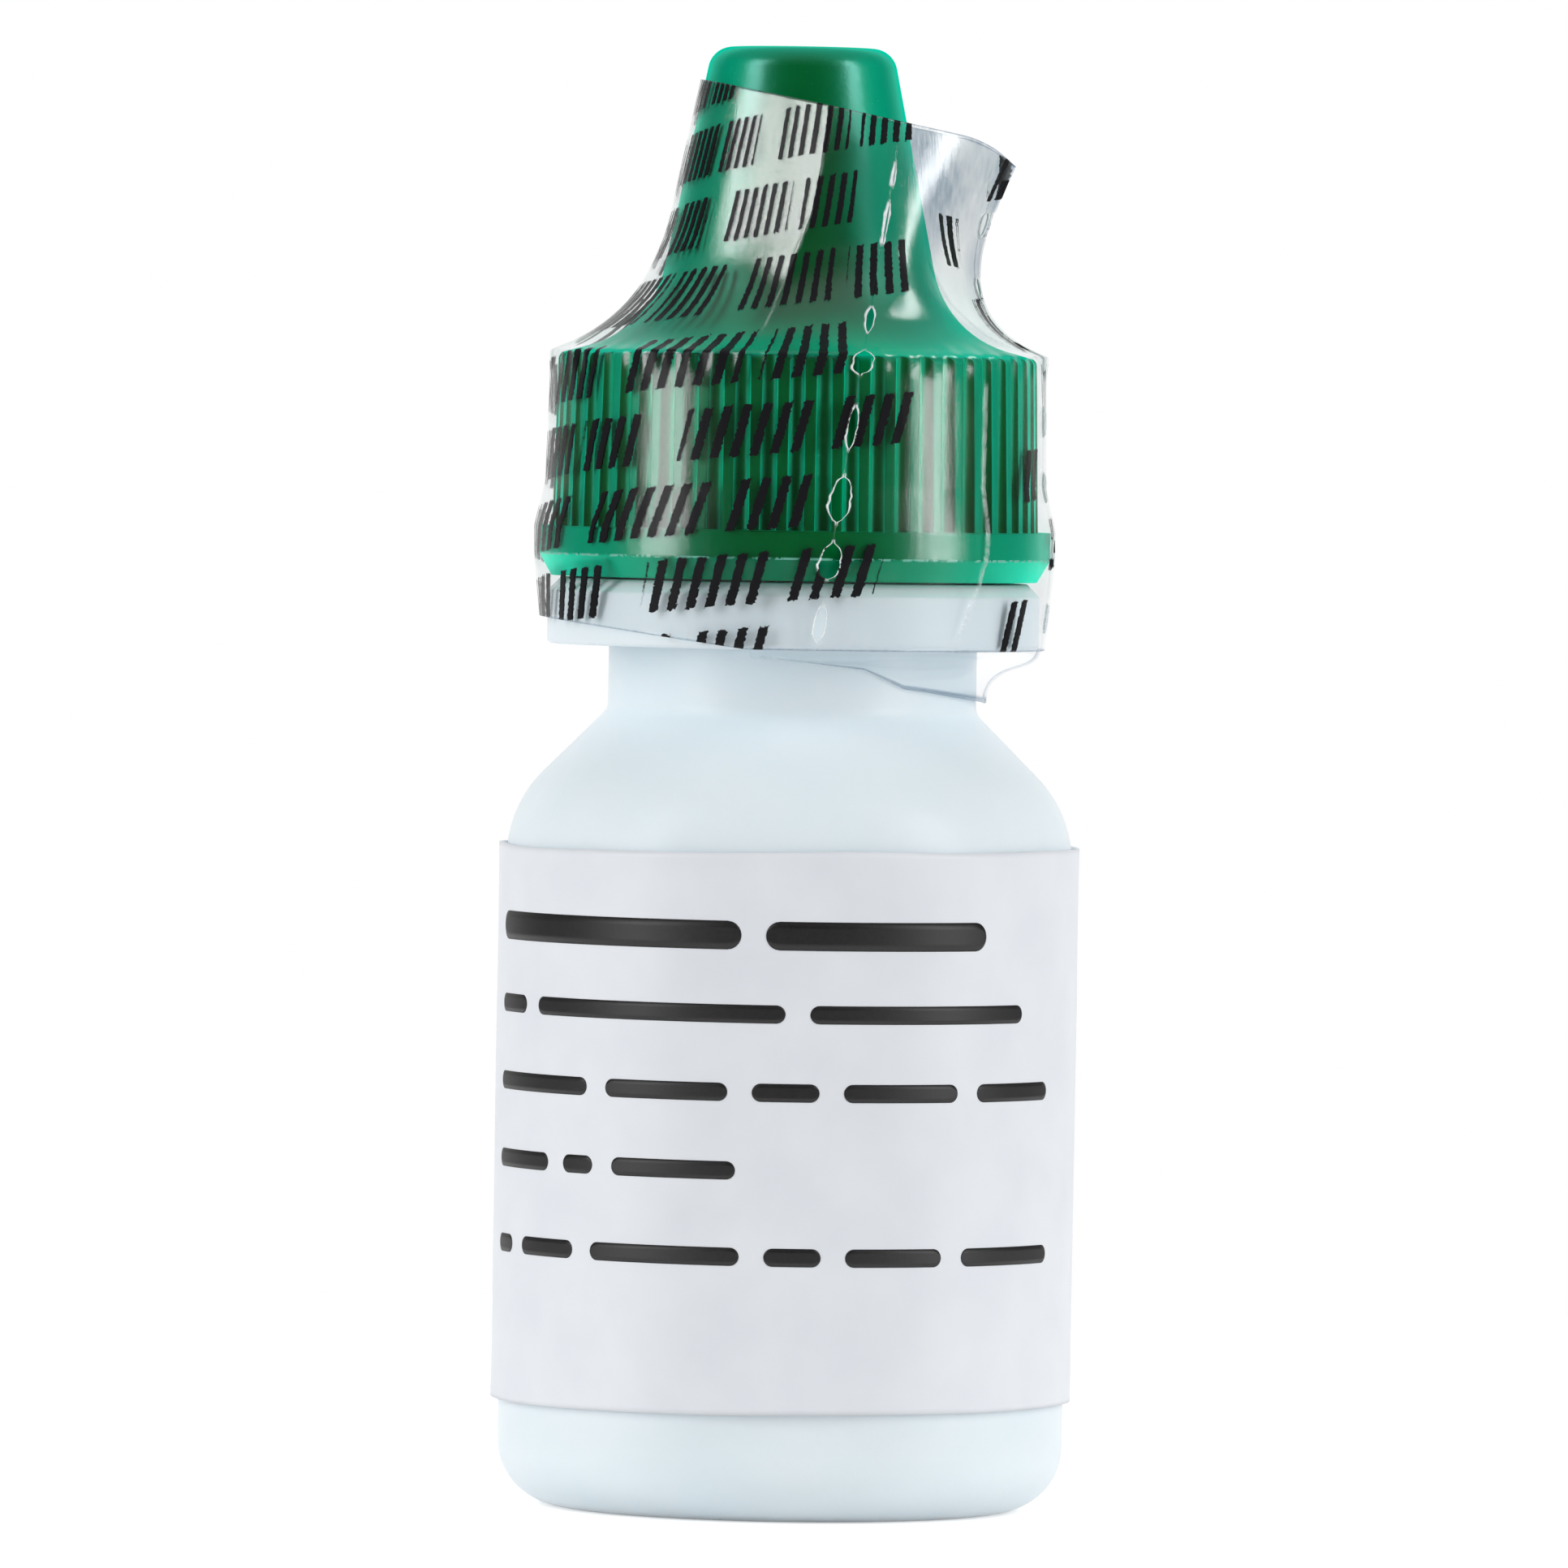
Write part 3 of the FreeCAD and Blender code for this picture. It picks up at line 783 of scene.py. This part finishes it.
def make_film(material):
    """The film in two pieces: the strip that is torn off, and the sleeve that goes round the rest."""
    far_holes = side_holes()
    strip = film_piece("film_strip", strip_columns, front_tear, side_tear, front_holes, far_holes)
    sleeve = film_piece("film_sleeve", sleeve_columns, side_tear, front_tear_again, far_holes, front_holes)
    for piece, body, node in ((strip, "strip", "tear_strip"), (sleeve, "seal", "seal_sleeve")):
        piece.data.materials.append(material)
        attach(piece, body)
        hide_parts(node)


def round_points(bearing, radius, height):
    """Points round the bottle's axis, at bearings counted from the front towards +X."""
    bearing, radius, height = np.broadcast_arrays(bearing, radius, height)
    return np.stack([radius * np.sin(bearing), -radius * np.cos(bearing), height], axis=-1)


def label_edges(bearing):
    """Heights of the label's lower and upper edge, a little crooked and not quite straight."""
    crook = -math.tan(math.radians(label_crook)) * body_radius * np.sin(bearing)
    slow, quick = label_ripples
    ripple = slow * np.sin(3 * bearing + 0.7) + quick * np.sin(7 * bearing)
    return label_low.z - crook + 0.5 * ripple, label_high.z - crook + ripple


def label_radius(bearing, height):
    """Outer radius of the label, with its slow waves and its lifted edges."""
    low, high = label_edges(bearing)
    spot = round_points(bearing, body_radius, height)
    edge = smooth_step(np.abs((height - low) / (high - low) - 0.5), 0.44, 0.5)
    wave = label_wave * waves_at(spot, 0.25, 6) + label_edge_wave * edge * waves_at(spot, 0.5, 7)
    return label_high.x - label_inset + np.maximum(wave, deepest_dent)


def make_label(material):
    """A label wrapped once round the body, its outer end lapped over its start at the back."""
    columns, rows = 420, 90
    start = math.radians(label_lap_bearing)
    end = start + math.radians(360 + label_lap)
    bearing = np.linspace(start, end, columns + 1)[:, None]
    climb = np.linspace(0, 1, rows + 1)[None, :]
    low, high = label_edges(bearing)
    height = low + climb * (high - low)
    bearing = np.broadcast_to(bearing, height.shape)
    lap_start, lap_end = np.radians(label_lap_rise)
    lapped = smooth_step(bearing, start + lap_start, start + lap_end)
    radius = label_radius(bearing, height) + lapped * (label_thickness + label_lap_gap)
    inner = round_points(bearing, radius - label_thickness - (1 - lapped) * label_glue, height)
    outer = round_points(bearing, radius, height)
    label = closed_sheet("wrap_label", inner, outer, {}, None)
    label.data.materials.append(material)
    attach(label, "bottle")
    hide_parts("label")


def make_label_print(material):
    """Generic print: rows of plain round-ended bars, the top row heavier."""
    ink_below, ink_above = 0.012, 0.014
    columns, rows = 40, 4
    bars = []
    for height, thick, lengths in label_bar_rows:
        start = -label_bar_reach
        for length in lengths:
            bars.append((start, length, height, thick))
            start += length + label_bar_gap
    pieces = []
    for start, length, height, thick in bars:
        along = start + length / 2 * (1 - np.cos(np.linspace(0.02, math.pi - 0.02, columns + 1)))[:, None]
        from_end = np.minimum(along - start, start + length - along)
        share = np.clip(from_end / (thick / 2), 0, 1)
        half = thick / 2 * np.sqrt(share * (2 - share))
        level = height + half * np.linspace(-1, 1, rows + 1)[None, :]
        bearing = np.broadcast_to(along / label_high.x, level.shape)
        radius = label_radius(bearing, level)
        inner = round_points(bearing, radius - ink_below, level)
        outer = round_points(bearing, radius + ink_above, level)
        pieces.append(closed_sheet("bar", inner, outer, {}, None))
    printed = join_pieces("label_print", pieces)
    printed.data.materials.append(material)
    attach(printed, "bottle")


def join_pieces(name, pieces):
    """One object with the meshes of several, which are then removed."""
    points, faces = [], []
    for piece in pieces:
        first = len(points)
        points.extend(tuple(vertex.co) for vertex in piece.data.vertices)
        faces.extend([first + corner for corner in face.vertices] for face in piece.data.polygons)
        bpy.data.objects.remove(piece)
    mesh = bpy.data.meshes.new(name)
    mesh.from_pydata(points, [], faces)
    mesh.polygons.foreach_set("use_smooth", [True] * len(mesh.polygons))
    made = bpy.data.objects.new(name, mesh)
    bpy.context.scene.collection.objects.link(made)
    return made


def make_film_tail(material):
    """The torn lower end of the film, drawn in under the collar and left against the neck at the right."""
    columns, rows = 150, 40
    bearing = np.radians(np.linspace(tail_bearings[0], tail_bearings[-1], columns + 1))[:, None]
    share = np.linspace(0, 1, rows + 1)[None, :]
    lowest = np.interp(bearing, np.radians(tail_bearings), tail_heights)
    drape = smooth_step(bearing, *np.radians(tail_drape_bearings))
    neck_side = neck_radius + 0.10 + 0.22 * drape
    # A curve from the collar's edge, in under the collar and down the neck
    radii = (collar_radius + 0.025, collar_radius - 0.1, neck_side + 0.1, neck_side)
    heights = (collar_bottom + 0.03, collar_bottom - 0.5 - 0.45 * drape, collar_bottom - 0.35, lowest)
    weights = ((1 - share) ** 3, 3 * share * (1 - share) ** 2, 3 * share ** 2 * (1 - share), share ** 3)
    radius = sum(w * r for w, r in zip(weights, radii))
    height = sum(w * z for w, z in zip(weights, heights))
    bearing, radius, height = np.broadcast_arrays(bearing, radius, height)
    plain = round_points(bearing, radius, height)
    crumple = 0.03 * waves_at(plain, 0.8, 8) + 0.08 * drape * waves_at(plain, 1.2, 9)
    crumple = smooth_step(share, 0.15, 0.5) * np.maximum(crumple, -0.05)
    inner = round_points(bearing, radius + crumple, height)
    outer = round_points(bearing, radius + crumple + film_thickness * 0.7, height - film_thickness * 0.5)
    rim = 0.2 * smooth_step(share, 0.97, 1.0) * np.ones_like(bearing)
    unrolled = np.zeros((*bearing.shape, 2))
    # The tail's lower and side ends get a dark line of painted shade; the draped part gets light clouding
    lower_end = smooth_step(share, 0.955, 0.975)
    side_end = smooth_step(bearing, *np.radians(tail_end_bearings))
    haze_and_edge_shade = np.maximum(0.1 * drape, np.maximum(lower_end, side_end))
    values = {"rim": rim, "haze_and_edge_shade": haze_and_edge_shade, "loose": np.zeros_like(bearing)}
    tail = closed_sheet("film_tail", inner, outer, values, unrolled)
    tail.data.materials.append(material)
    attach(tail, "bottle")


def dress_cad_nodes():
    """Materials for the solids that are shown as they are."""
    milky = {
        "Specular_IOR_Level": 0.3,
        "Subsurface_Weight": 0.35,
        "Subsurface_Scale": MM,
        "Subsurface_Radius": (1.0, 1.1, 1.2),
    }
    bottle = moulded_plastic(
        "bottle_polyethylene", dark=(0.80, 0.905, 0.975), light=(0.84, 0.93, 0.99),
        roughness=0.36, grain=2.4, grain_depth=0.008, edge=0.15, settings=milky)
    tip = moulded_plastic(
        "tip_polyethylene", dark=(0.80, 0.85, 0.87), light=(0.85, 0.88, 0.90),
        roughness=0.34, grain=3.0, grain_depth=0.004, edge=0.05, settings=milky)
    dressed = {"bottle": bottle, "dropper_tip": tip, "solution": liquid_material(), "cap": cap_material()}
    for node, material in dressed.items():
        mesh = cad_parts[node].data
        mesh.materials.clear()
        mesh.materials.append(material)


def make_world():
    """White behind the object and for the camera, with a dim side in front and a soft light overhead."""
    lit_turn = (-0.55, 0.35)
    front_level = 0.26
    back_level = 0.62
    glossy_turn = (0.45, 1.0)
    glossy_front_level = 0.02
    glossy_back_level = 1.0
    glossy_climb = (0.45, 0.95)
    glossy_top_level = 0.4
    world = bpy.data.worlds.new("studio")
    bpy.context.scene.world = world
    world.use_nodes = True
    tree = world.node_tree
    tree.nodes.clear()
    make, link = tree.nodes.new, tree.links.new
    direction = make("ShaderNodeTexCoord")
    parts = make("ShaderNodeSeparateXYZ")
    link(direction.outputs["Generated"], parts.inputs[0])
    path = make("ShaderNodeLightPath")

    def towards(axis, start, end, low, high):
        """Rises from low to high as the direction turns along an axis: Y to the back, Z to straight up."""
        turn = make("ShaderNodeMapRange")
        turn.interpolation_type = "SMOOTHSTEP"
        set_inputs(turn, From_Min=start, From_Max=end, To_Min=low, To_Max=high)
        link(parts.outputs[axis], turn.inputs["Value"])
        return turn.outputs["Result"]

    camera_ray, through_ray = path.outputs["Is Camera Ray"], path.outputs["Is Transmission Ray"]
    seen = math_node(make, link, "MAXIMUM", camera_ray, through_ray)
    lit = towards("Y", *lit_turn, front_level, back_level)
    mirrored_back = towards("Y", *glossy_turn, glossy_front_level, glossy_back_level)
    mirrored_top = towards("Z", *glossy_climb, 0.0, glossy_top_level)
    mirrored = math_node(make, link, "MAXIMUM", mirrored_back, mirrored_top)
    choice = make("ShaderNodeMix")
    link(path.outputs["Is Glossy Ray"], choice.inputs["Factor"])
    link(lit, choice.inputs["A"])
    link(mirrored, choice.inputs["B"])
    level = math_node(make, link, "MAXIMUM", choice.outputs["Result"], seen)
    background = set_inputs(make("ShaderNodeBackground"), Color=(1, 1, 1, 1))
    link(level, background.inputs["Strength"])
    output = make("ShaderNodeOutputWorld")
    link(background.outputs[0], output.inputs["Surface"])


def make_softbox(name, bearing, width, power):
    """An upright softbox at a bearing from the camera, facing the object."""
    lamp = bpy.data.lights.new(name, "AREA")
    lamp.shape = "RECTANGLE"
    lamp.size = width * MM
    lamp.size_y = softbox_tall * MM
    lamp.energy = power
    turn = math.radians(bearing)
    spot = Vector((math.sin(turn), -math.cos(turn), 0)) * softbox_distance * MM
    spot.z = softbox_height * MM
    made = bpy.data.objects.new(name, lamp)
    made.location = spot
    made.rotation_euler = (Vector((0, 0, spot.z)) - spot).to_track_quat("-Z", "Y").to_euler()
    bpy.context.scene.collection.objects.link(made)


def make_floor():
    """A pale floor that keeps the shadow; what the camera sees of it is lifted to white."""
    lift = 0.52
    sides = 96
    turns = [2 * math.pi * i / sides for i in range(sides)]
    rim = [(floor_radius * MM * math.cos(turn), floor_radius * MM * math.sin(turn), 0) for turn in turns]
    mesh = bpy.data.meshes.new("floor")
    mesh.from_pydata(rim, [], [tuple(range(sides))])
    floor = bpy.data.objects.new("floor", mesh)
    bpy.context.scene.collection.objects.link(floor)
    material, make, link = shader_nodes("floor")
    path = make("ShaderNodeLightPath")
    seen = math_node(make, link, "MAXIMUM", path.outputs["Is Camera Ray"], path.outputs["Is Glossy Ray"])
    seen = math_node(make, link, "MAXIMUM", seen, path.outputs["Is Transmission Ray"])
    shader = set_inputs(make("ShaderNodeBsdfPrincipled"), Base_Color=(0.9, 0.9, 0.9, 1), Roughness=0.9)
    shader.inputs["Emission Color"].default_value = (1, 1, 1, 1)
    link(math_node(make, link, "MULTIPLY", seen, lift), shader.inputs["Emission Strength"])
    mesh.materials.append(surfaced(material, make, link, shader))


def make_camera():
    """A camera at the photograph's height, tilt and width of view."""
    lens = bpy.data.cameras.new("camera")
    lens.sensor_width = sensor_width
    lens.lens = sensor_width * camera_distance / view_width
    lens.clip_start = 0.01
    lens.clip_end = 10
    camera = bpy.data.objects.new("camera", lens)
    spot = Vector((aim_side, -camera_distance, camera_height)) * MM
    aim = Vector((aim_side, 0, aim_height)) * MM
    look = (aim - spot).to_track_quat("-Z", "Y").to_matrix().to_4x4()
    roll = Matrix.Rotation(math.radians(camera_roll), 4, "Z")
    camera.matrix_world = Matrix.Translation(spot) @ look @ roll
    bpy.context.scene.collection.objects.link(camera)
    bpy.context.scene.camera = camera


def main():
    """Builds the stage, dresses the solids and adds the label and the film."""
    bpy.context.scene.view_settings.view_transform = "Standard"
    make_camera()
    make_world()
    make_softbox("softbox_left", *softbox_left)
    make_softbox("softbox_right", *softbox_right)
    make_floor()
    dress_cad_nodes()
    make_label(paper_material())
    make_label_print(ink_material())
    film = film_material()
    make_film(film)
    make_film_tail(film)


main()
